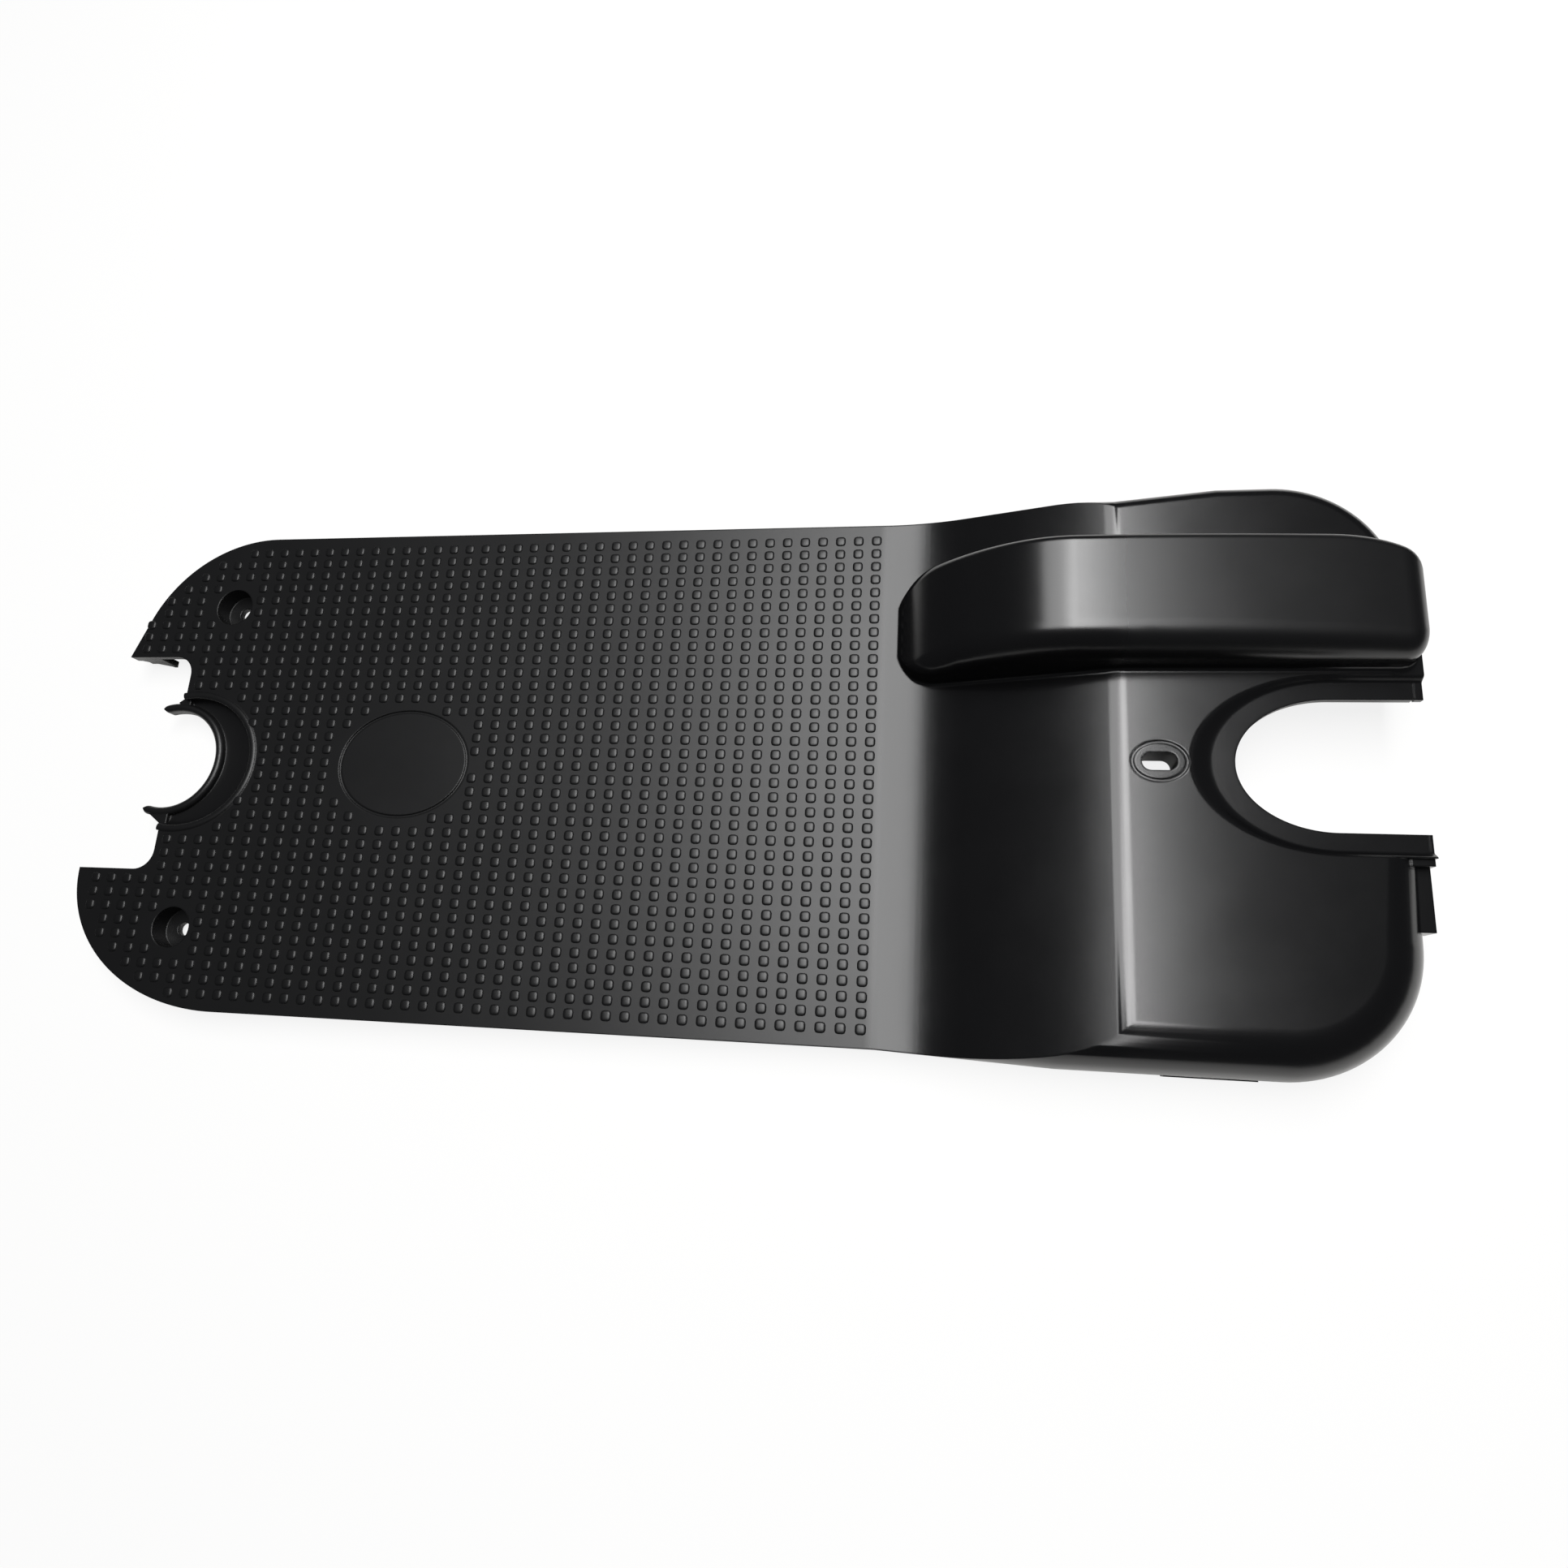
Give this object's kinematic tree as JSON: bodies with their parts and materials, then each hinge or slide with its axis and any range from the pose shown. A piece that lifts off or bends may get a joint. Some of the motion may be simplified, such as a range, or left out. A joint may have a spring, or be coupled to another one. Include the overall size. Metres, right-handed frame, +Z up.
{
  "type": "scooter floorboard",
  "caption": "Moulded plastic floorboard of an electric scooter: studded deck, ramp to a rear platform with a drive bulge, and two notches for steering tube and rear post.",
  "frame": {"origin": "centre of the footprint, on the plane of the bottom rim", "axes": "+X to the rear of the scooter along the board's length, +Y to the drive side, +Z up"},
  "size_m": [0.57, 0.234, 0.0565],
  "materials": {
    "black_plastic": "satin, fine grain"
  },
  "bodies": {
    "root": {"floorboard": "black_plastic"}
  },
  "joints": []
}
